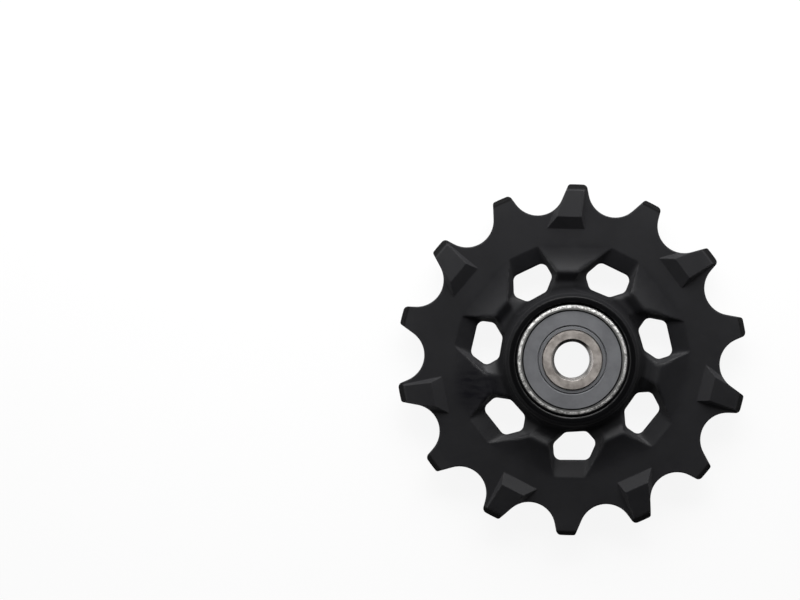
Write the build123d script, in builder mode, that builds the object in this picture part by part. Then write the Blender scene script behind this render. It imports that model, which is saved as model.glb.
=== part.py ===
from build123d import *
import os
from math import atan2, cos, degrees, radians, sin

os.makedirs("parts", exist_ok=True)

# Chain that the wheel guides
chain_pitch = 12.7
roller_diameter = 7.75

# Teeth, narrow and wide by turns
tooth_pairs = 7
tip_height = 0.5
root_clearance = 0.24
seat_clearance = 0.57
steep_flank_angle = 25.1
lean_flank_angle = 34.6
steep_tip_round = 0.8
lean_tip_round = 0.45
tip_bevel_run = 0.6
tip_bevel_drop = 0.5

# Plate that carries the teeth: heights count from the middle plane
plate_half = 1.0
plate_edge_bevel = 0.12

# Raised wedge on each wide tooth
wedge_end_height = 0.95
wedge_tip_height = 0.2
wedge_end_depth = 2.8
wedge_end_run = 2.0
wedge_steep_side = 1.5
wedge_steep_run = 0.6
wedge_lean_spread = 0.45
wedge_lean_run = 0.75

# Bearing in the hub
bearing_bore = 6.0
bearing_diameter = 19.0
bearing_width = 6.0

# Hub around the bearing
hub_wall = 1.5
hub_half = 3.1
hub_edge_round = 0.8
hub_straight_height = 0.1

# Windows: each has six corners, on three circles, at angles from the axis of its narrow tooth
parting_half = 0.2
window_hub_gap = 1.05
window_foot_height = 2.15
window_head_height = 2.6
window_outer_lean = 11.0
window_outer_steep = 8.4
window_shoulder_lean = 18.2
window_shoulder_steep = 11.1
window_foot_lean = 13.2
window_foot_steep = 3.8
window_corner_round = 1.15

# Rim of each window at the plate's face, laid out the same way: the walls slope out to it
rim_hub_gap = 0.8
rim_foot_height = 2.65
rim_head_height = 5.15
rim_outer_lean = 7.6
rim_outer_steep = 7.3
rim_shoulder_lean = 22.8
rim_shoulder_steep = 14.2
rim_foot_lean = 27.2
rim_foot_steep = 6.7
rim_corner_round = 0.4

# Spoke pads: each curves up from the plate to a ridge, then slopes down to the hub's foot
pad_ridge_half = 1.9
pad_rise_angle = 2.0
pad_step_run = 1.4
pad_ridge_round = 0.5

# Bearing rings
raceway_ratio = 0.52
raceway_clearance = 0.015
bore_chamfer = 0.5
ring_edge_round = 0.9
inner_shoulder_gap = 1.1
outer_shoulder_gap = 1.2
inner_seal_step = 0.3
inner_seal_step_width = 1.0
outer_seal_wall = 1.2
outer_seal_groove = 0.2
outer_seal_groove_width = 0.3

# Seals
seal_recess = 0.15
seal_edge_gap = 0.2
seal_lip_clearance = 0.18
seal_lip_width = 0.45
seal_lip_drop = 0.08
seal_crease_width = 0.3
seal_crease_depth = 0.18
seal_bead_clearance = 0.05
seal_cage_clearance = 0.22

# Balls, and the cage of two riveted ribbon halves
ball_count = 7
ball_diameter = 3.5
first_ball_angle = 90
cage_sheet = 0.22
cage_band = 1.5
cage_pocket_clearance = 0.06
rivet_diameter = 0.5
rivet_head_diameter = 0.8
rivet_head_height = 0.2
rivet_head_bevel = 0.1
rivet_clearance = 0.02

# Sizes that follow
tooth_count = 2 * tooth_pairs
tooth_angle = 360 / tooth_count
pitch_radius = chain_pitch / (2 * sin(radians(tooth_angle / 2)))
root_radius = pitch_radius - roller_diameter / 2 - root_clearance
seat_radius = roller_diameter / 2 + seat_clearance
seat_centre = root_radius + seat_radius
tip_radius = pitch_radius + tip_height
bore_radius = bearing_bore / 2
bearing_radius = bearing_diameter / 2
bearing_half = bearing_width / 2
hub_radius = bearing_radius + hub_wall
window_foot_radius = hub_radius + window_hub_gap
window_shoulder_radius = window_foot_radius + window_foot_height
window_outer_radius = window_shoulder_radius + window_head_height
rim_foot_radius = hub_radius + rim_hub_gap
rim_shoulder_radius = rim_foot_radius + rim_foot_height
rim_outer_radius = rim_shoulder_radius + rim_head_height
wedge_top = plate_half + wedge_end_height


def polar(radius, turn):
    """Point at a clockwise angle from the +Y axis."""
    return (radius * sin(radians(turn)), radius * cos(radians(turn)))


def moved_sides(corners, shifts):
    """Corners of a clockwise outline after each side has moved outwards by its own shift."""
    sides = []
    for start, end, shift in zip(corners, corners[1:] + corners[:1], shifts):
        along = (Vector(*end) - Vector(*start)).normalized()
        outwards = Vector(-along.Y, along.X)
        sides.append((Vector(*start) + outwards * shift, along))
    moved = []
    for before, after in zip(sides[-1:] + sides[:-1], sides):
        reach = (after[0] - before[0]).cross(after[1]).Z / before[1].cross(after[1]).Z
        meeting = before[0] + before[1] * reach
        moved.append((meeting.X, meeting.Y))
    return moved


def turn_from_tooth(corner):
    """Clockwise angle of a corner from the axis of its own tooth."""
    around = degrees(atan2(corner.X, corner.Y))
    return (around + tooth_angle / 2) % tooth_angle - tooth_angle / 2


def at_tip(corner):
    """True for a corner of the outline that lies outside the pitch circle."""
    return Vector(corner.X, corner.Y).length > pitch_radius


# Space between two teeth: a round seat for the chain's roller, with one flank steeper than the other
steep_angle = radians(steep_flank_angle)
lean_angle = radians(lean_flank_angle)
flank_length = seat_radius + tip_height
steep_start = Vector(-seat_radius * cos(steep_angle), seat_centre - seat_radius * sin(steep_angle))
steep_end = steep_start + Vector(-sin(steep_angle), cos(steep_angle)) * flank_length
lean_start = Vector(seat_radius * cos(lean_angle), seat_centre - seat_radius * sin(lean_angle))
lean_end = lean_start + Vector(sin(lean_angle), cos(lean_angle)) * flank_length

with BuildSketch() as tooth_gap:
    with BuildLine():
        Line(steep_end, steep_start)
        ThreePointArc(steep_start, (0, root_radius), lean_start)
        Line(lean_start, lean_end)
        Line(lean_end, steep_end)
    make_face()

# Outline of all teeth, with a wide tooth on +Y
with BuildSketch() as tooth_outline:
    Circle(tip_radius)
    with PolarLocations(0, tooth_count, tooth_angle / 2):
        add(tooth_gap.sketch, mode=Mode.SUBTRACT)
    tips = tooth_outline.vertices().filter_by(at_tip)
    fillet(tips.filter_by(lambda corner: turn_from_tooth(corner) < 0), lean_tip_round)
    tips = tooth_outline.vertices().filter_by(at_tip)
    fillet(tips.filter_by(lambda corner: turn_from_tooth(corner) > 0), steep_tip_round)

# Wedge of one wide tooth, which follows the leaning flank and falls towards the tip
wedge_end = root_radius - wedge_end_depth
flank_low = lean_start.rotate(Axis.Z, tooth_angle / 2)
flank_high = lean_end.rotate(Axis.Z, tooth_angle / 2)
flank_slope = (flank_high.X - flank_low.X) / (flank_high.Y - flank_low.Y)
wedge_plan = [
    (flank_low.X + flank_slope * (tip_radius - flank_low.Y), tip_radius),
    (wedge_steep_side, tip_radius),
    (wedge_steep_side, wedge_end),
    (flank_low.X + flank_slope * (wedge_end - flank_low.Y), wedge_end),
]
wedge_base = moved_sides(wedge_plan, [0, 0, 0, wedge_lean_spread])
wedge_crown = moved_sides(wedge_base, [0, -wedge_steep_run, -wedge_end_run, -wedge_lean_run])
wedge_fall = Vector(0, tip_radius - wedge_end - wedge_end_run, wedge_tip_height - wedge_end_height)
wedge_crest = (0, wedge_end + wedge_end_run, wedge_top)

with BuildPart() as wedge:
    with BuildSketch(Plane.XY.offset(plate_half)):
        with BuildLine():
            Polyline(*wedge_base, close=True)
        make_face()
    with BuildSketch(Plane.XY.offset(wedge_top)):
        with BuildLine():
            Polyline(*wedge_crown, close=True)
        make_face()
    loft(ruled=True)
    split(bisect_by=Plane(wedge_crest, (1, 0, 0), Vector(1, 0, 0).cross(wedge_fall)), keep=Keep.BOTTOM)
    with BuildSketch():
        with BuildLine():
            Polyline(*wedge_base, close=True)
        make_face()
    extrude(amount=plate_half)
    add(extrude(tooth_outline.sketch, wedge_top, mode=Mode.PRIVATE), mode=Mode.INTERSECT)

# Cutter for one window: a straight band at the middle plane, then walls that each slope their own way
window_corners = [
    polar(window_outer_radius, -window_outer_lean),
    polar(window_outer_radius, window_outer_steep),
    polar(window_shoulder_radius, window_shoulder_steep),
    polar(window_foot_radius, window_foot_steep),
    polar(window_foot_radius, -window_foot_lean),
    polar(window_shoulder_radius, -window_shoulder_lean),
]
rim_corners = [
    polar(rim_outer_radius, -rim_outer_lean),
    polar(rim_outer_radius, rim_outer_steep),
    polar(rim_shoulder_radius, rim_shoulder_steep),
    polar(rim_foot_radius, rim_foot_steep),
    polar(rim_foot_radius, -rim_foot_lean),
    polar(rim_shoulder_radius, -rim_shoulder_lean),
]

with BuildPart() as window_cutter:
    with BuildSketch(Plane.XY.offset(parting_half)) as window_outline:
        with BuildLine():
            FilletPolyline(*window_corners, radius=window_corner_round, close=True)
        make_face()
    with BuildSketch(Plane.XY.offset(plate_half)) as rim_outline:
        with BuildLine():
            FilletPolyline(*rim_corners, radius=rim_corner_round, close=True)
        make_face()
    loft(ruled=True)
    extrude(window_outline.sketch, -parting_half)
    extrude(rim_outline.sketch, pad_ridge_half - plate_half)

# Pad of one spoke, from rim corner to rim corner, on the axis of its wide tooth
pad_corners = [
    Vector(*rim_corners[1]).rotate(Axis.Z, tooth_angle),
    Vector(*rim_corners[0]).rotate(Axis.Z, -tooth_angle),
]
pad_outer = min(corner.Y for corner in pad_corners)
pad_foot = rim_shoulder_radius - pad_step_run
pad_half_width = max(abs(corner.X) for corner in pad_corners)

with BuildPart() as pad:
    with BuildSketch(Plane.YZ.offset(-pad_half_width)) as pad_side:
        with BuildLine():
            Polyline(
                (pad_outer, plate_half),
                (pad_outer, 0),
                (pad_foot, 0),
                (pad_foot, plate_half),
                (rim_shoulder_radius, pad_ridge_half),
            )
            TangentArc(
                (pad_outer, plate_half),
                (rim_shoulder_radius, pad_ridge_half),
                tangent=(-cos(radians(pad_rise_angle)), sin(radians(pad_rise_angle))),
            )
        make_face()
        fillet(pad_side.vertices().sort_by(Axis.Y)[-1], pad_ridge_round)
    extrude(amount=2 * pad_half_width)

# Wheel body: the half above the middle plane, and its mirror image below
bevel_inner = tip_radius - tip_bevel_run - wedge_end_height * tip_bevel_run / tip_bevel_drop
bevel_outer = tip_radius + tip_bevel_run
bevel_low = plate_half - 2 * tip_bevel_drop
hub_foot_round = hub_half - plate_half - hub_edge_round - hub_straight_height

with BuildPart() as wheel_body:
    extrude(tooth_outline.sketch, plate_half)
    chamfer(wheel_body.faces().sort_by(Axis.Z)[-1].edges(), plate_edge_bevel)
    with PolarLocations(0, tooth_pairs):
        add(pad.part)
    with BuildSketch(Plane.XZ):
        with BuildLine():
            FilletPolyline(
                (bearing_radius, 0),
                (bearing_radius, hub_half),
                (hub_radius, hub_half),
                (hub_radius, plate_half),
                (pad_foot, plate_half),
                (pad_foot, 0),
                radius=[0, 0, hub_edge_round, hub_foot_round, 0, 0],
                close=True,
            )
        make_face()
    revolve(axis=Axis.Z)
    with PolarLocations(0, tooth_pairs, -tooth_angle):
        add(window_cutter.part, mode=Mode.SUBTRACT)
    with PolarLocations(0, tooth_pairs):
        add(wedge.part)
    with BuildSketch(Plane.XZ):
        with BuildLine():
            Polyline(
                (bevel_inner, wedge_top),
                (bevel_outer, bevel_low),
                (bevel_outer, wedge_top),
                close=True,
            )
        make_face()
    revolve(axis=Axis.Z, mode=Mode.SUBTRACT)
    with BuildSketch():
        Circle(bearing_radius)
    extrude(amount=hub_half, mode=Mode.SUBTRACT)
    mirror(about=Plane.XY)

# Bearing rings, each with a round groove for the balls
ball_radius = ball_diameter / 2
ball_circle = (bore_radius + bearing_radius) / 2
raceway_radius = raceway_ratio * ball_diameter
raceway_shift = raceway_radius - ball_radius - raceway_clearance
inner_shoulder = ball_circle - inner_shoulder_gap
inner_land = inner_shoulder - inner_seal_step
outer_shoulder = ball_circle + outer_shoulder_gap
outer_lip = bearing_radius - outer_seal_wall
outer_groove = outer_lip + outer_seal_groove
cage_pocket = ball_radius + cage_pocket_clearance
cage_height = cage_pocket + cage_sheet
groove_floor = cage_height + seal_cage_clearance
groove_top = groove_floor + outer_seal_groove_width

with BuildPart() as bearing_inner_ring:
    with BuildSketch(Plane.XZ):
        with BuildLine():
            Polyline(
                (bore_radius, 0),
                (bore_radius, bearing_half - bore_chamfer),
                (bore_radius + bore_chamfer, bearing_half),
                (inner_land, bearing_half),
                (inner_land, bearing_half - inner_seal_step_width),
                (inner_shoulder, bearing_half - inner_seal_step_width),
                (inner_shoulder, 0),
                close=True,
            )
        make_face()
        mirror(about=Plane.XZ)
        with Locations((ball_circle + raceway_shift, 0)):
            Circle(raceway_radius, mode=Mode.SUBTRACT)
    revolve(axis=Axis.Z)

with BuildPart() as bearing_outer_ring:
    with BuildSketch(Plane.XZ):
        with BuildLine():
            FilletPolyline(
                (outer_shoulder, 0),
                (outer_shoulder, groove_floor),
                (outer_groove, groove_floor),
                (outer_groove, groove_top),
                (outer_lip, groove_top),
                (outer_lip, bearing_half),
                (bearing_radius, bearing_half),
                (bearing_radius, 0),
                radius=[0, 0, 0, 0, 0, 0, ring_edge_round, 0],
                close=True,
            )
        make_face()
        mirror(about=Plane.XZ)
        with Locations((ball_circle - raceway_shift, 0)):
            Circle(raceway_radius, mode=Mode.SUBTRACT)
    revolve(axis=Axis.Z)

# Seals: a bead snapped into the outer ring's groove, a flat face, a crease and a lip over the inner ring
seal_face = bearing_half - seal_recess
seal_edge = outer_lip - seal_edge_gap
seal_bead = outer_groove - seal_bead_clearance
seal_bead_top = groove_top - seal_bead_clearance
lip_inner = inner_land + seal_lip_clearance
lip_outer = lip_inner + seal_lip_width
lip_face = seal_face - seal_lip_drop

with BuildPart() as front_seal:
    with BuildSketch(Plane.XZ):
        with BuildLine():
            Polyline(
                (lip_inner, groove_floor),
                (lip_inner, lip_face),
                (lip_outer, lip_face),
                (lip_outer + seal_crease_width / 2, lip_face - seal_crease_depth),
                (lip_outer + seal_crease_width, seal_face),
                (seal_edge, seal_face),
                (seal_edge + seal_edge_gap / 2, seal_bead_top),
                (seal_bead, seal_bead_top),
                (seal_bead, groove_floor),
                close=True,
            )
        make_face()
    revolve(axis=Axis.Z)

with BuildPart() as rear_seal:
    mirror(front_seal.part, about=Plane.XY)

# Cage halves: a flat ribbon, bent in a half round over each ball
first_rivet_angle = first_ball_angle + 180 / ball_count

with BuildPart() as cage_front_half:
    with BuildSketch() as cage_ribbon:
        Circle(ball_circle + cage_band / 2)
        Circle(ball_circle - cage_band / 2, mode=Mode.SUBTRACT)
    extrude(amount=cage_sheet)
    with PolarLocations(ball_circle, ball_count, first_ball_angle):
        Cylinder(cage_height, cage_band, rotation=(0, 90, 0))
    extrude(cage_ribbon.sketch, cage_height, mode=Mode.INTERSECT)
    with PolarLocations(ball_circle, ball_count, first_ball_angle):
        Cylinder(cage_pocket, 2 * cage_band, rotation=(0, 90, 0), mode=Mode.SUBTRACT)
    with PolarLocations(ball_circle, ball_count, first_rivet_angle):
        Cylinder(rivet_diameter / 2 + rivet_clearance, cage_height, mode=Mode.SUBTRACT)

with BuildPart() as cage_rear_half:
    mirror(cage_front_half.part, about=Plane.XY)

rivet_top = cage_sheet + rivet_head_height

with BuildPart() as rivet:
    with BuildSketch(Plane.XZ):
        with BuildLine():
            Polyline(
                (0, 0),
                (0, rivet_top),
                (rivet_head_diameter / 2 - rivet_head_bevel, rivet_top),
                (rivet_head_diameter / 2, rivet_top - rivet_head_bevel),
                (rivet_head_diameter / 2, cage_sheet),
                (rivet_diameter / 2, cage_sheet),
                (rivet_diameter / 2, 0),
                close=True,
            )
        make_face()
        mirror(about=Plane.XZ)
    revolve(axis=Axis.Z)

with BuildPart() as cage_rivets:
    with PolarLocations(ball_circle, ball_count, first_rivet_angle):
        add(rivet.part)

pieces = {
    "wheel_body": wheel_body,
    "bearing_outer_ring": bearing_outer_ring,
    "bearing_inner_ring": bearing_inner_ring,
    "front_seal": front_seal,
    "rear_seal": rear_seal,
    "cage_front_half": cage_front_half,
    "cage_rear_half": cage_rear_half,
    "cage_rivets": cage_rivets,
}

# Balls, evenly spaced from +Y
for number in range(1, ball_count + 1):
    with BuildPart() as ball:
        with PolarLocations(ball_circle, 1, first_ball_angle - 360 / ball_count * (number - 1)):
            Sphere(ball_radius)
    pieces[f"ball_{number}"] = ball

for name, piece in pieces.items():
    piece.part.label = name
    export_step(piece.part, f"parts/{name}.step")
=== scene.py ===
from math import cos, pi, radians, sin, tau

import bpy
from mathutils import Matrix, Vector


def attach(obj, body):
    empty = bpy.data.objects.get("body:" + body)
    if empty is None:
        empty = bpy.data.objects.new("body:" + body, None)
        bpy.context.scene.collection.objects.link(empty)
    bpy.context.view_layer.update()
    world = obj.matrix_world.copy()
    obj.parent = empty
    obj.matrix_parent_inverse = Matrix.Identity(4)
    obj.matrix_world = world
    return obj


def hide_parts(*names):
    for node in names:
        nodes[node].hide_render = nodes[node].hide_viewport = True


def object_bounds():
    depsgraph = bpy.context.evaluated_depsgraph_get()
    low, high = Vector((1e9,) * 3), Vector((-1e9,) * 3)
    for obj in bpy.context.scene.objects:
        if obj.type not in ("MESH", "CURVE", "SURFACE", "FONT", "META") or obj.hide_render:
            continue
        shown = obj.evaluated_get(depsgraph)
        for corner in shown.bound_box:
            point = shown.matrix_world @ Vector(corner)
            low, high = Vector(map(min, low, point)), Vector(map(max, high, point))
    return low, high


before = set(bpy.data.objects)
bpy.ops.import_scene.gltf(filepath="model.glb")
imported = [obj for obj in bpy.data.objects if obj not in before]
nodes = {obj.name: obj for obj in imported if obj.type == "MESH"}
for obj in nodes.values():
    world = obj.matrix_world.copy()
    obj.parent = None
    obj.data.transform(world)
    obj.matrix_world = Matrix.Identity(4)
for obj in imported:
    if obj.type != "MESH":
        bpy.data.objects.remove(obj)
cad_low, cad_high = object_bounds()

MM = 0.001

# Framing of the photograph, with the wheel's centre in its pixels
IMAGE_WIDTH, IMAGE_HEIGHT = 800, 600
WHEEL_CENTRE_PX = (572.0, 359.8)
PX_PER_MM = 6.05
WHEEL_TURN = radians(1.54)
PLATE_HALF = 1.0 * MM
CAMERA_HEIGHT = 0.9
SENSOR_WIDTH = 36.0

# Distances from the axis over which one finish gives way to the next
BORE_END = (3.42 * MM, 3.54 * MM)
# Painted shade on the seal's outer edge, where it meets the outer ring
SEAL_EDGE_SHADE_START = (8.02 * MM, 8.1 * MM)
# Outer ring: a painted highlight, partly real rubbing, on its rounded edge, with painted shade and some
# grease past it
RUBBED_HIGHLIGHT_START = (8.46 * MM, 8.68 * MM)
RUBBED_HIGHLIGHT_END = (8.92 * MM, 9.12 * MM)
HUB_RIM_END = (11.0 * MM, 11.25 * MM)
HUB_FOOT_END = (11.9 * MM, 12.9 * MM)
LAND_END = (16.2 * MM, 17.2 * MM)
SPOKE_END = (18.6 * MM, 20.6 * MM)
TOOTH_SPAN = (24.4 * MM, 29.0 * MM)
TIP_END_START = (28.0 * MM, 28.4 * MM)

# Height over which the hub's side gives way to its glossy rim
HUB_RIM_START = (3.0 * MM, 3.08 * MM)

# Softness of the plastic's and the rubber's edges
TOOTH_EDGE_ROUND = 0.22 * MM
SPOKE_EDGE_ROUND = 0.5 * MM
LAND_EDGE_ROUND = 1.0 * MM
SEAL_EDGE_ROUND = 0.05 * MM

# Make-up of the effects that the finishes share, and the height of a surface without them
COARSE_GRAIN_SCALE = 0.3
COARSE_GRAIN_SHARE = 0.35
FINE_SMUDGE_SCALE = 7.0
FINE_SMUDGE_SHARE = 0.3
LEAST_SPECK = 0.4
FLAT_HEIGHT = 0.5

# Rubbed patch on one spoke
SCUFF_PLACE = (-15.8 * MM, -5.0 * MM, 1.5 * MM)
SCUFF_END = (1.35 * MM, 5.4 * MM)
SCUFF_STREAK_TURN = radians(35)
SCUFF_STREAK_SCALE = (0.25, 1.6, 1)

# Colours in linear light, each pair from its plain to its marked places
PLASTIC_BLACKS = (0.0050, 0.0050, 0.0062, 1), (0.0075, 0.0075, 0.0090, 1)
# Painted shade on the hub's rounded edge, side and foot
HUB_FOOT_SHADE = (0.0024, 0.0024, 0.0033, 1)
HUB_RIM_BLACK = (0.0014, 0.0014, 0.0018, 1)
TOOTH_GREY = (0.02, 0.02, 0.02, 1)
# Painted shade on the steep tooth tips
TIP_END_SHADE = (0.0012, 0.0012, 0.0014, 1)
SCUFF_BLACK = (0.0012, 0.001, 0.003, 1)
WORN_PLASTIC = (0.045, 0.045, 0.046, 1)
PLASTIC_DUST = (0.2, 0.2, 0.19, 1)
DULL_OUTER_RING = (0.12, 0.12, 0.118, 1), (0.2, 0.198, 0.194, 1)
# Painted highlight, partly real rubbing, on the outer ring's rounded edge
RUBBED_AND_HIGHLIT_OUTER_RING = (0.26, 0.256, 0.248, 1), (0.84, 0.835, 0.82, 1)
# Painted shade, with some grease, on the outer ring's outermost edge beside the hub
GREASE_AND_SHADE_OUTER_RING = (0.045, 0.045, 0.047, 1)
INNER_RING_GREYS = (0.38, 0.345, 0.318, 1), (0.58, 0.54, 0.508, 1)
# Painted shade inside the bore
BORE_SHADE = (0.2, 0.19, 0.182, 1)
WORN_INNER_RING = (0.75, 0.73, 0.7, 1)
SEAL_GREYS = (0.104, 0.106, 0.113, 1), (0.134, 0.137, 0.145, 1)
WORN_SEAL = (0.2, 0.21, 0.22, 1)
SEAL_DUST = (0.4, 0.4, 0.4, 1)
# Painted shade on the seal's outer edge
SEAL_EDGE_SHADE = (0.008, 0.008, 0.009, 1)
BALL_GREYS = (0.7, 0.69, 0.67, 1), (0.6, 0.57, 0.52, 1)
CAGE_GREYS = (0.52, 0.5, 0.47, 1), (0.38, 0.35, 0.3, 1)
CAGE_CUT_EDGE = (0.7, 0.69, 0.67, 1)

# Roughness, each pair from its plain to its marked places
TOOTH_ROUGHNESS = (0.62, 0.7)
SPOKE_ROUGHNESS = (0.5, 0.58)
HUB_FOOT_ROUGHNESS = 0.95
HUB_RIM_ROUGHNESS = 0.3
TIP_END_ROUGHNESS = 1.0
SCUFF_ROUGHNESS = 0.4
OUTER_RING_ROUGHNESS = (0.6, 0.74)
INNER_RING_ROUGHNESS = (0.52, 0.64)
BORE_ROUGHNESS = 0.2
SEAL_ROUGHNESS = (0.5, 0.66)
BALL_ROUGHNESS = (0.07, 0.16)
CAGE_ROUGHNESS = (0.26, 0.42)

# Rivets of the ball cage, each half way between two balls
BALL_COUNT = 7
BALL_CIRCLE = 6.25 * MM
FIRST_RIVET_ANGLE = tau / 4 + tau / BALL_COUNT / 2
CAGE_SHEET = 0.22 * MM
RIVET_RADIUS = 0.25 * MM
RIVET_HEAD_RADIUS = 0.4 * MM
RIVET_HEAD_HEIGHT = 0.2 * MM
RIVET_SIDES = 16
RIVET_HEAD_SIDES, RIVET_HEAD_RINGS = 20, 12

# Floor and sky of the studio, the sky's bands as parts of a direction of length 1
FLOOR_REACH = 4.0
FLOOR_COLOUR = (0.9, 0.9, 0.9, 1)
FLOOR_GLOW = 0.9
FLOOR_MIRRORED_GLOW = 0.3
WHITE = (1, 1, 1, 1)
SKY_FOOT, SKY_TOP = 0.04, 0.12
SKY_FOOT_TO_TOP = (-0.7, 0.7)
SKY_LEFT, SKY_RIGHT = 2.9, 2.4
SKY_LEFT_BAND = (-0.6, -0.95)
SKY_RIGHT_BAND = (0.6, 0.95)
SKY_ZENITH = 0.05
SKY_ZENITH_BAND = (0.08, 0.42)

# Soft boxes of the studio
BOX_DISTANCE = 0.13
BOX_SIZE = (0.26, 0.1)
BOX_SPREAD = radians(110)
KEY_POWER = 0.262
KEY_TURN = radians(93)
KEY_ZENITH_ANGLE = radians(64)
KEY_TARGET = (-8 * MM, 12 * MM, 0)
LEFT_POWER = 0.027
LEFT_TURN = radians(172)
LEFT_ZENITH_ANGLE = radians(66)
LEFT_TARGET = (-16 * MM, 4 * MM, 0)


def fill(socket, value):
    """Link an output to an input, or set the input's own value."""
    if isinstance(value, bpy.types.NodeSocket):
        socket.id_data.links.new(value, socket)
    else:
        socket.default_value = value


def add(tree, kind, inputs=None, **options):
    """New node in a tree, with its options set and its inputs filled by name or number."""
    made = tree.nodes.new(kind)
    for name, value in options.items():
        setattr(made, name, value)
    for key, value in (inputs or {}).items():
        fill(made.inputs[key], value)
    return made


def add_socket(tree, side, kind, label, value=None):
    """Named input or output of a node group, with its first value where it has one."""
    made = tree.interface.new_socket(label, in_out=side, socket_type=f"NodeSocket{kind}")
    if value is not None:
        made.default_value = value


def calc(tree, operation, *values):
    """Result of a math operation on one, two or three values."""
    return add(tree, "ShaderNodeMath", dict(enumerate(values)), operation=operation).outputs[0]


def between(tree, value, first, last, start=0.0, end=1.0):
    """Smooth step: start where the value is at or before first, end where it is at or past last."""
    inputs = {"Value": value, "From Min": first, "From Max": last, "To Min": start, "To Max": end}
    return add(tree, "ShaderNodeMapRange", inputs, interpolation_type="SMOOTHSTEP").outputs[0]


def inside(tree, distance, limit):
    """Mask that is 1 nearer than a limit's two ends, 0 beyond them and blended between them."""
    return between(tree, distance, *limit, start=1.0, end=0.0)


def beyond(tree, distance, limit):
    """Mask that is 0 nearer than a limit's two ends, 1 beyond them and blended between them."""
    return between(tree, distance, *limit)


def blend_values(tree, share, first, second):
    """First value where the share is 0, second where it is 1."""
    return add(tree, "ShaderNodeMix", {0: share, 2: first, 3: second}, data_type="FLOAT").outputs[0]


def blend_colours(tree, share, first, second):
    """First colour where the share is 0, second where it is 1."""
    return add(tree, "ShaderNodeMix", {0: share, 6: first, 7: second}, data_type="RGBA").outputs[2]


def lay_over(tree, colour, tint, mask, strength):
    """Colour with a tint laid over it where the mask is, at a part of its full strength."""
    return blend_colours(tree, calc(tree, "MULTIPLY", mask, strength), colour, tint)


def object_place(tree):
    """Place on the piece, in metres from the wheel's centre."""
    return add(tree, "ShaderNodeTexCoord").outputs["Object"]


def vector_length(tree, vector):
    """Length of a vector."""
    return add(tree, "ShaderNodeVectorMath", {0: vector}, operation="LENGTH").outputs["Value"]


def axis_distance(tree, place):
    """Distance from the wheel's axis."""
    flat = add(tree, "ShaderNodeVectorMath", {0: place, 1: (1, 1, 0)}, operation="MULTIPLY")
    return vector_length(tree, flat.outputs[0])


def noise(tree, place, scale, detail=2.0, roughness=0.5):
    """Cloudy value from 0 to 1 with about this many lumps in a metre."""
    inputs = {"Vector": place, "Scale": scale, "Detail": detail, "Roughness": roughness}
    return add(tree, "ShaderNodeTexNoise", inputs).outputs[0]


def effect(name, output, **inputs):
    """Empty node group, with the inputs as seen inside it and the socket for its one result."""
    tree = bpy.data.node_groups.new(name, "ShaderNodeTree")
    for label, value in inputs.items():
        add_socket(tree, "INPUT", "Float", label, value)
    add_socket(tree, "OUTPUT", "Float", output)
    return tree, tree.nodes.new("NodeGroupInput").outputs, tree.nodes.new("NodeGroupOutput").inputs[0]


def edge_wear_effect():
    """Mask that is 1 on outer edges and breaks up along them."""
    tree, given, mask = effect("edge wear", "Mask", Width=0.3 * MM, Breaks=900.0)
    depth = add(
        tree,
        "ShaderNodeAmbientOcclusion",
        {"Distance": given["Width"]},
        inside=True,
        only_local=True,
        samples=8,
    )
    edge = between(tree, depth.outputs["AO"], first=0.98, last=0.55)
    chips = noise(tree, object_place(tree), given["Breaks"], detail=4.0, roughness=0.6)
    fill(mask, calc(tree, "MULTIPLY", edge, between(tree, chips, first=0.42, last=0.62)))
    return tree


def moulded_grain_effect():
    """Fine sandy height of a moulded or blasted surface."""
    tree, given, height = effect("moulded grain", "Height", Scale=6000.0)
    place = object_place(tree)
    coarse_scale = calc(tree, "MULTIPLY", given["Scale"], COARSE_GRAIN_SCALE)
    fine = noise(tree, place, given["Scale"], detail=3.0, roughness=0.55)
    coarse = noise(tree, place, coarse_scale)
    fill(height, blend_values(tree, COARSE_GRAIN_SHARE, fine, coarse))
    return tree


def smudge_effect():
    """Soft cloudy mask of handling marks, with finer marks inside it."""
    tree, given, mask = effect("smudges", "Mask", Scale=140.0)
    place = object_place(tree)
    fine_scale = calc(tree, "MULTIPLY", given["Scale"], FINE_SMUDGE_SCALE)
    clouds = noise(tree, place, given["Scale"], detail=5.0, roughness=0.62)
    marks = noise(tree, place, fine_scale, detail=3.0, roughness=0.7)
    cover = blend_values(tree, FINE_SMUDGE_SHARE, clouds, marks)
    fill(mask, between(tree, cover, first=0.34, last=0.66))
    return tree


def turning_effect():
    """Fine rings around the wheel's axis, as a lathe or a round mould leaves them."""
    tree, given, height = effect("turning rings", "Height", Spacing=0.08 * MM)
    place = object_place(tree)
    ring = calc(tree, "DIVIDE", axis_distance(tree, place), given["Spacing"])
    direction = add(tree, "ShaderNodeVectorMath", {0: place}, operation="NORMALIZE").outputs[0]
    around = add(tree, "ShaderNodeSeparateXYZ", {0: direction}).outputs
    swept = add(tree, "ShaderNodeCombineXYZ", {0: ring, 1: around["X"], 2: around["Y"]}).outputs[0]
    fill(height, noise(tree, swept, scale=1.0, detail=3.0, roughness=0.6))
    return tree


def dust_effect():
    """Mask of a few tiny specks."""
    tree, given, mask = effect("dust specks", "Mask", Scale=700.0, Size=0.08, Share=0.08)
    cells = add(tree, "ShaderNodeTexVoronoi", {"Vector": object_place(tree), "Scale": given["Scale"]})
    chance = add(tree, "ShaderNodeSeparateColor", {0: cells.outputs["Color"]}).outputs
    size = calc(tree, "MULTIPLY", given["Size"], calc(tree, "ADD", chance["Green"], LEAST_SPECK))
    speck = calc(tree, "LESS_THAN", cells.outputs["Distance"], size)
    chosen = calc(tree, "LESS_THAN", chance["Red"], given["Share"])
    fill(mask, calc(tree, "MULTIPLY", speck, chosen))
    return tree


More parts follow.
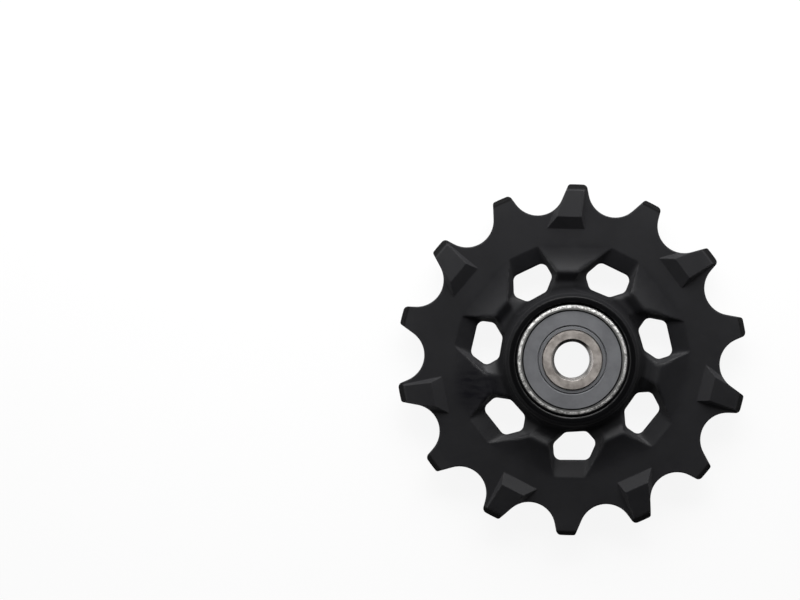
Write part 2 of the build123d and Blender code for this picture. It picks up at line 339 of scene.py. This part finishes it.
EDGE_WEAR = edge_wear_effect()
MOULDED_GRAIN = moulded_grain_effect()
SMUDGES = smudge_effect()
TURNING_RINGS = turning_effect()
DUST_SPECKS = dust_effect()


def place_effect(tree, group, **values):
    """Result of an effect, placed in a material with its own values."""
    made = add(tree, "ShaderNodeGroup", node_tree=group)
    for label, value in values.items():
        made.inputs[label].default_value = value
    return made.outputs[0]


def finish_material(name, **constants):
    """Material with a Principled shader whose plain values are set, ready for its nodes."""
    material = bpy.data.materials.new(name)
    material.use_nodes = True
    shader = material.node_tree.nodes["Principled BSDF"]
    for label, value in constants.items():
        shader.inputs[label.replace("_", " ")].default_value = value
    return material, material.node_tree, shader.inputs


def raised(tree, height, depth, strength=1.0, edge_round=None):
    """Normal of a surface with this height on it, and with its edges rounded off where asked."""
    inputs = {"Height": height, "Distance": depth, "Strength": strength}
    if edge_round is not None:
        inputs["Normal"] = add(tree, "ShaderNodeBevel", {"Radius": edge_round}, samples=6).outputs[0]
    return add(tree, "ShaderNodeBump", inputs).outputs[0]


def scuff_mask(tree, place):
    """Streaky mask of the rubbed patch on one spoke."""
    offset = add(tree, "ShaderNodeVectorMath", {0: place, 1: SCUFF_PLACE}, operation="SUBTRACT")
    patch = inside(tree, vector_length(tree, offset.outputs[0]), SCUFF_END)
    streak_place = add(
        tree,
        "ShaderNodeMapping",
        {"Vector": place, "Rotation": (0, 0, SCUFF_STREAK_TURN), "Scale": SCUFF_STREAK_SCALE},
    ).outputs[0]
    streaks = noise(tree, streak_place, scale=900.0, detail=4.0, roughness=0.65)
    return calc(tree, "MULTIPLY", patch, between(tree, streaks, first=0.42, last=0.6, start=0.5))


def wheel_plastic():
    """Satin black moulding: glossy hub rim, matt hub foot and tooth tips, both painted darker as shade,
    worn edges, one rubbed spoke.
    """
    material, tree, shader = finish_material("wheel plastic", Specular_IOR_Level=0.26)
    place = object_place(tree)
    radius = axis_distance(tree, place)
    height = calc(tree, "ABSOLUTE", add(tree, "ShaderNodeSeparateXYZ", {0: place}).outputs["Z"])
    smudges = place_effect(tree, SMUDGES, Scale=130.0)
    wear = place_effect(tree, EDGE_WEAR, Width=0.28 * MM, Breaks=1100.0)
    grain = place_effect(tree, MOULDED_GRAIN, Scale=7000.0)
    dust = place_effect(tree, DUST_SPECKS, Scale=420.0, Size=0.03, Share=0.1)
    scuff = scuff_mask(tree, place)

    hub_top = beyond(tree, height, HUB_RIM_START)
    hub_rim = calc(tree, "MULTIPLY", inside(tree, radius, HUB_RIM_END), hub_top)
    hub_foot = inside(tree, radius, HUB_FOOT_END)
    lands = calc(tree, "SUBTRACT", inside(tree, radius, LAND_END), hub_foot)
    spokes = inside(tree, radius, SPOKE_END)
    teeth = calc(tree, "MULTIPLY", beyond(tree, radius, TOOTH_SPAN), smudges)
    tip_ends = beyond(tree, radius, TIP_END_START)

    colour = blend_colours(tree, smudges, *PLASTIC_BLACKS)
    # Painted shade: the hub's edge, side and foot darker than the plain black
    colour = blend_colours(tree, hub_foot, colour, HUB_FOOT_SHADE)
    colour = blend_colours(tree, hub_rim, colour, HUB_RIM_BLACK)
    colour = lay_over(tree, colour, TOOTH_GREY, teeth, strength=0.2)
    # Painted shade: the tooth tips near black
    colour = blend_colours(tree, tip_ends, colour, TIP_END_SHADE)
    colour = lay_over(tree, colour, SCUFF_BLACK, scuff, strength=0.8)
    colour = lay_over(tree, colour, WORN_PLASTIC, wear, strength=0.5)
    fill(shader["Base Color"], lay_over(tree, colour, PLASTIC_DUST, dust, strength=0.7))

    tooth_satin = blend_values(tree, smudges, *TOOTH_ROUGHNESS)
    spoke_satin = blend_values(tree, smudges, *SPOKE_ROUGHNESS)
    satin = blend_values(tree, spokes, tooth_satin, spoke_satin)
    satin = blend_values(tree, hub_foot, satin, HUB_FOOT_ROUGHNESS)
    satin = blend_values(tree, hub_rim, satin, HUB_RIM_ROUGHNESS)
    satin = blend_values(tree, tip_ends, satin, TIP_END_ROUGHNESS)
    fill(shader["Roughness"], blend_values(tree, scuff, satin, SCUFF_ROUGHNESS))

    edge_round = blend_values(tree, spokes, TOOTH_EDGE_ROUND, SPOKE_EDGE_ROUND)
    edge_round = blend_values(tree, lands, edge_round, LAND_EDGE_ROUND)
    fill(shader["Normal"], raised(tree, grain, depth=0.008 * MM, strength=0.7, edge_round=edge_round))
    return material


def outer_ring_steel():
    """Dull ground steel with turned rings; along its rounded edge a speckled band, partly rubbed bright
    and partly a painted highlight, and past it painted shade with some grease.
    """
    material, tree, shader = finish_material("outer ring steel", Metallic=1.0)
    radius = axis_distance(tree, object_place(tree))
    rings = place_effect(tree, TURNING_RINGS, Spacing=0.07 * MM)
    speckle = place_effect(tree, MOULDED_GRAIN, Scale=3600.0)
    stains = place_effect(tree, SMUDGES, Scale=420.0)
    grains = between(tree, speckle, first=0.38, last=0.6)

    dull = blend_colours(tree, stains, *DULL_OUTER_RING)
    # Painted highlight, partly real rubbing, along the rounded edge
    bright = blend_colours(tree, grains, *RUBBED_AND_HIGHLIT_OUTER_RING)
    colour = blend_colours(tree, beyond(tree, radius, RUBBED_HIGHLIGHT_START), dull, bright)
    # Painted shade, with some grease, past the band beside the hub
    colour = blend_colours(tree, beyond(tree, radius, RUBBED_HIGHLIGHT_END), colour, GREASE_AND_SHADE_OUTER_RING)
    fill(shader["Base Color"], colour)
    fill(shader["Roughness"], blend_values(tree, grains, *OUTER_RING_ROUGHNESS))
    height = blend_values(tree, share=0.7, first=rings, second=speckle)
    fill(shader["Normal"], raised(tree, height, depth=0.05 * MM))
    return material


def inner_ring_steel():
    """Warm grey ground steel, mottled by use, with a smoother bore painted darker as shade."""
    material, tree, shader = finish_material("inner ring steel", Metallic=1.0)
    bore = inside(tree, axis_distance(tree, object_place(tree)), BORE_END)
    rings = place_effect(tree, TURNING_RINGS, Spacing=0.09 * MM)
    mottle = place_effect(tree, SMUDGES, Scale=900.0)
    grain = place_effect(tree, MOULDED_GRAIN, Scale=6500.0)
    wear = place_effect(tree, EDGE_WEAR, Width=0.15 * MM, Breaks=1500.0)

    colour = blend_colours(tree, mottle, *INNER_RING_GREYS)
    # Painted shade: the bore darker than the ring's faces
    colour = blend_colours(tree, bore, colour, BORE_SHADE)
    fill(shader["Base Color"], lay_over(tree, colour, WORN_INNER_RING, wear, strength=0.3))
    matt = blend_values(tree, mottle, *INNER_RING_ROUGHNESS)
    fill(shader["Roughness"], blend_values(tree, bore, matt, BORE_ROUGHNESS))
    ground = blend_values(tree, share=0.5, first=rings, second=grain)
    height = blend_values(tree, bore, ground, FLAT_HEIGHT)
    fill(shader["Normal"], raised(tree, height, depth=0.012 * MM, strength=0.7))
    return material


def seal_rubber():
    """Matt blue-grey rubber: mould rings, handling marks, a little dust, and painted shade along its outer
    edge where it meets the ring.
    """
    material, tree, shader = finish_material("seal rubber", Specular_IOR_Level=0.35)
    # Mask of the seal's outer edge, painted dark as shade where it meets the ring
    grease = beyond(tree, axis_distance(tree, object_place(tree)), SEAL_EDGE_SHADE_START)
    rings = place_effect(tree, TURNING_RINGS, Spacing=0.3 * MM)
    grain = place_effect(tree, MOULDED_GRAIN, Scale=9000.0)
    marks = place_effect(tree, SMUDGES, Scale=260.0)
    dust = place_effect(tree, DUST_SPECKS, Scale=900.0, Size=0.05, Share=0.12)
    wear = place_effect(tree, EDGE_WEAR, Width=0.15 * MM, Breaks=1300.0)

    colour = blend_colours(tree, marks, *SEAL_GREYS)
    colour = lay_over(tree, colour, WORN_SEAL, wear, strength=0.4)
    colour = lay_over(tree, colour, SEAL_DUST, dust, strength=0.5)
    # Painted shade along the seal's outer edge
    fill(shader["Base Color"], blend_colours(tree, grease, colour, SEAL_EDGE_SHADE))
    fill(shader["Roughness"], blend_values(tree, marks, *SEAL_ROUGHNESS))
    height = blend_values(tree, share=0.4, first=grain, second=rings)
    fill(shader["Normal"], raised(tree, height, depth=0.01 * MM, strength=0.6, edge_round=SEAL_EDGE_ROUND))
    return material


def ball_steel():
    """Polished ball steel with a film of grease."""
    material, tree, shader = finish_material("ball steel", Metallic=1.0)
    film = place_effect(tree, SMUDGES, Scale=700.0)
    grain = place_effect(tree, MOULDED_GRAIN, Scale=12000.0)
    fill(shader["Base Color"], blend_colours(tree, film, *BALL_GREYS))
    fill(shader["Roughness"], blend_values(tree, film, *BALL_ROUGHNESS))
    fill(shader["Normal"], raised(tree, grain, depth=0.001 * MM, strength=0.3))
    return material


def cage_steel():
    """Pressed sheet steel: fine rings, greasy marks and bright cut edges."""
    material, tree, shader = finish_material("cage steel", Metallic=1.0)
    rings = place_effect(tree, TURNING_RINGS, Spacing=0.05 * MM)
    grease = place_effect(tree, SMUDGES, Scale=500.0)
    wear = place_effect(tree, EDGE_WEAR, Width=0.1 * MM, Breaks=2000.0)
    colour = blend_colours(tree, grease, *CAGE_GREYS)
    fill(shader["Base Color"], lay_over(tree, colour, CAGE_CUT_EDGE, wear, strength=0.5))
    fill(shader["Roughness"], blend_values(tree, grease, *CAGE_ROUGHNESS))
    fill(shader["Normal"], raised(tree, rings, depth=0.003 * MM, strength=0.5))
    return material


def rivet_dome(tree, given):
    """Domed head on the sheet's upper face: a ball with its lower half pressed flat."""
    ball = add(
        tree,
        "GeometryNodeMeshUVSphere",
        {"Segments": RIVET_HEAD_SIDES, "Rings": RIVET_HEAD_RINGS, "Radius": 1.0},
    )
    position = add(tree, "GeometryNodeInputPosition").outputs[0]
    spot = add(tree, "ShaderNodeSeparateXYZ", {0: position}).outputs
    rise = calc(tree, "MAXIMUM", spot["Z"], 0.0)
    dome_place = add(
        tree,
        "ShaderNodeCombineXYZ",
        {
            0: calc(tree, "MULTIPLY", spot["X"], given["Head"]),
            1: calc(tree, "MULTIPLY", spot["Y"], given["Head"]),
            2: calc(tree, "MULTIPLY_ADD", rise, given["Head Height"], given["Sheet"]),
        },
    ).outputs[0]
    dome = add(tree, "GeometryNodeSetPosition", {"Geometry": ball.outputs["Mesh"], "Position": dome_place})
    return dome.outputs[0]


def rivet_shank(tree, given):
    """Shank through both sheets, ending inside the two heads."""
    sheets = calc(tree, "MULTIPLY", given["Sheet"], 2.0)
    length = calc(tree, "MULTIPLY_ADD", given["Head Height"], 0.5, sheets)
    shank = add(
        tree,
        "GeometryNodeMeshCylinder",
        {"Vertices": RIVET_SIDES, "Radius": given["Shank"], "Depth": length},
    )
    return shank.outputs["Mesh"]


def rivet_row_tree():
    """Geometry Nodes tree: a row of domed rivets on a circle around the axis."""
    tree = bpy.data.node_groups.new("rivet row", "GeometryNodeTree")
    tree.is_modifier = True
    sizes = {
        "Circle": BALL_CIRCLE,
        "Shank": RIVET_RADIUS,
        "Head": RIVET_HEAD_RADIUS,
        "Head Height": RIVET_HEAD_HEIGHT,
        "Sheet": CAGE_SHEET,
        "First Angle": FIRST_RIVET_ANGLE,
    }
    add_socket(tree, "INPUT", "Geometry", "Geometry")
    add_socket(tree, "INPUT", "Int", "Count", BALL_COUNT)
    for label, size in sizes.items():
        add_socket(tree, "INPUT", "Float", label, size)
    add_socket(tree, "INPUT", "Material", "Material")
    add_socket(tree, "OUTPUT", "Geometry", "Geometry")
    given = tree.nodes.new("NodeGroupInput").outputs

    front = rivet_dome(tree, given)
    back = add(tree, "GeometryNodeTransform", {"Geometry": front, "Rotation": (pi, 0, 0)}).outputs[0]
    rivet = tree.nodes.new("GeometryNodeJoinGeometry")
    for piece in (front, back, rivet_shank(tree, given)):
        tree.links.new(piece, rivet.inputs[0])

    circle = add(tree, "GeometryNodeMeshCircle", {"Vertices": given["Count"], "Radius": given["Circle"]})
    turn = add(tree, "ShaderNodeCombineXYZ", {2: given["First Angle"]}).outputs[0]
    spots = add(tree, "GeometryNodeTransform", {"Geometry": circle.outputs[0], "Rotation": turn})
    row = add(
        tree,
        "GeometryNodeInstanceOnPoints",
        {"Points": spots.outputs[0], "Instance": rivet.outputs[0]},
    )
    real = add(tree, "GeometryNodeRealizeInstances", {"Geometry": row.outputs[0]})
    smooth = add(tree, "GeometryNodeSetShadeSmooth", {0: real.outputs[0]})
    dressed = add(
        tree,
        "GeometryNodeSetMaterial",
        {"Geometry": smooth.outputs[0], "Material": given["Material"]},
    )
    fill(tree.nodes.new("NodeGroupOutput").inputs[0], dressed.outputs[0])
    return tree


def baked_piece(name, tree, values):
    """Plain mesh object made by a Geometry Nodes tree with these input values."""
    seed = bpy.data.objects.new(name, bpy.data.meshes.new(name))
    bpy.context.scene.collection.objects.link(seed)
    modifier = seed.modifiers.new("shape", "NODES")
    modifier.node_group = tree
    labels = {item.name: item.identifier for item in tree.interface.items_tree if item.in_out == "INPUT"}
    for label, value in values.items():
        modifier[labels[label]] = value
    graph = bpy.context.evaluated_depsgraph_get()
    mesh = bpy.data.meshes.new_from_object(seed.evaluated_get(graph), depsgraph=graph)
    seed.modifiers.remove(modifier)
    seed.data = mesh
    return seed


def dress(node, material):
    """Give a CAD node its finish."""
    for slot in nodes[node].material_slots:
        slot.material = material


def studio_floor():
    """Wide pale floor under the hub, white to the camera, with the object's soft shadow on it."""
    mesh = bpy.data.meshes.new("floor")
    corners = [(-1, -1), (1, -1), (1, 1), (-1, 1)]
    points = [(x * FLOOR_REACH, y * FLOOR_REACH, cad_low.z) for x, y in corners]
    mesh.from_pydata(points, [], [(0, 1, 2, 3)])
    floor = bpy.data.objects.new("floor", mesh)
    bpy.context.scene.collection.objects.link(floor)
    material = bpy.data.materials.new("floor")
    material.use_nodes = True
    tree = material.node_tree
    tree.nodes.clear()
    matt = add(tree, "ShaderNodeBsdfDiffuse", {"Color": FLOOR_COLOUR})
    glow = add(tree, "ShaderNodeEmission", {"Color": WHITE, "Strength": 1.0})
    ray = tree.nodes.new("ShaderNodeLightPath").outputs
    seen = calc(tree, "MAXIMUM", ray["Is Camera Ray"], ray["Is Transmission Ray"])
    mirrored = calc(tree, "MULTIPLY", ray["Is Glossy Ray"], FLOOR_MIRRORED_GLOW)
    share = calc(tree, "MAXIMUM", calc(tree, "MULTIPLY", seen, FLOOR_GLOW), mirrored)
    mixed = add(tree, "ShaderNodeMixShader", {0: share, 1: matt.outputs[0], 2: glow.outputs[0]})
    add(tree, "ShaderNodeOutputMaterial", {"Surface": mixed.outputs[0]})
    mesh.materials.append(material)


def studio_sky():
    """Soft tent of light: bright to the left and right, dark overhead, white to the camera."""
    world = bpy.data.worlds.new("studio")
    bpy.context.scene.world = world
    world.use_nodes = True
    tree = world.node_tree
    tree.nodes.clear()
    direction = add(tree, "ShaderNodeTexCoord").outputs["Generated"]
    towards = add(tree, "ShaderNodeSeparateXYZ", {0: direction}).outputs
    level = between(tree, towards["Y"], *SKY_FOOT_TO_TOP, start=SKY_FOOT, end=SKY_TOP)
    level = blend_values(tree, between(tree, towards["X"], *SKY_LEFT_BAND), level, SKY_LEFT)
    level = blend_values(tree, between(tree, towards["X"], *SKY_RIGHT_BAND), level, SKY_RIGHT)
    level = blend_values(tree, between(tree, towards["Z"], *SKY_ZENITH_BAND), level, SKY_ZENITH)
    level = calc(tree, "MAXIMUM", level, tree.nodes.new("ShaderNodeLightPath").outputs["Is Camera Ray"])
    sky = add(tree, "ShaderNodeBackground", {"Color": WHITE, "Strength": level})
    add(tree, "ShaderNodeOutputWorld", {"Surface": sky.outputs[0]})


def soft_box(name, power, turn, zenith_angle, target):
    """Lamp with a long pale face, beside the wheel and tipped down to a target on it."""
    lamp = bpy.data.lights.new(name, "AREA")
    lamp.shape = "RECTANGLE"
    lamp.size, lamp.size_y = BOX_SIZE
    lamp.energy = power
    lamp.spread = BOX_SPREAD
    box = bpy.data.objects.new(name, lamp)
    bpy.context.scene.collection.objects.link(box)
    level = BOX_DISTANCE * sin(zenith_angle)
    height = BOX_DISTANCE * cos(zenith_angle)
    box.location = (level * cos(turn), level * sin(turn), height)
    box.rotation_euler = (Vector(target) - box.location).to_track_quat("-Z", "Y").to_euler()


def photo_camera():
    """Camera straight above the photograph's middle, turned so that the wheel leans as it does there."""
    camera = bpy.data.objects.new("camera", bpy.data.cameras.new("camera"))
    bpy.context.scene.collection.objects.link(camera)
    view_width = IMAGE_WIDTH / PX_PER_MM * MM
    right = (IMAGE_WIDTH / 2 - WHEEL_CENTRE_PX[0]) / PX_PER_MM * MM
    up = (WHEEL_CENTRE_PX[1] - IMAGE_HEIGHT / 2) / PX_PER_MM * MM
    middle = Matrix.Rotation(WHEEL_TURN, 3, "Z") @ Vector((right, up, PLATE_HALF))
    camera.location = middle + Vector((0, 0, CAMERA_HEIGHT))
    camera.rotation_euler = (0, 0, WHEEL_TURN)
    camera.data.sensor_width = SENSOR_WIDTH
    camera.data.lens = SENSOR_WIDTH * CAMERA_HEIGHT / view_width
    bpy.context.scene.camera = camera


dress("wheel_body", wheel_plastic())
dress("bearing_outer_ring", outer_ring_steel())
dress("bearing_inner_ring", inner_ring_steel())
rubber = seal_rubber()
for seal in ("front_seal", "rear_seal"):
    dress(seal, rubber)
sheet_steel = cage_steel()
for half in ("cage_front_half", "cage_rear_half"):
    dress(half, sheet_steel)
polished = ball_steel()
for number in range(1, BALL_COUNT + 1):
    dress(f"ball_{number}", polished)

rivets = baked_piece("domed_cage_rivets", rivet_row_tree(), {"Material": sheet_steel})
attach(rivets, "cage")
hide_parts("cage_rivets")

studio_floor()
studio_sky()
soft_box("key", KEY_POWER, KEY_TURN, KEY_ZENITH_ANGLE, KEY_TARGET)
soft_box("left_fill", LEFT_POWER, LEFT_TURN, LEFT_ZENITH_ANGLE, LEFT_TARGET)
photo_camera()
bpy.context.scene.view_settings.view_transform = "Standard"
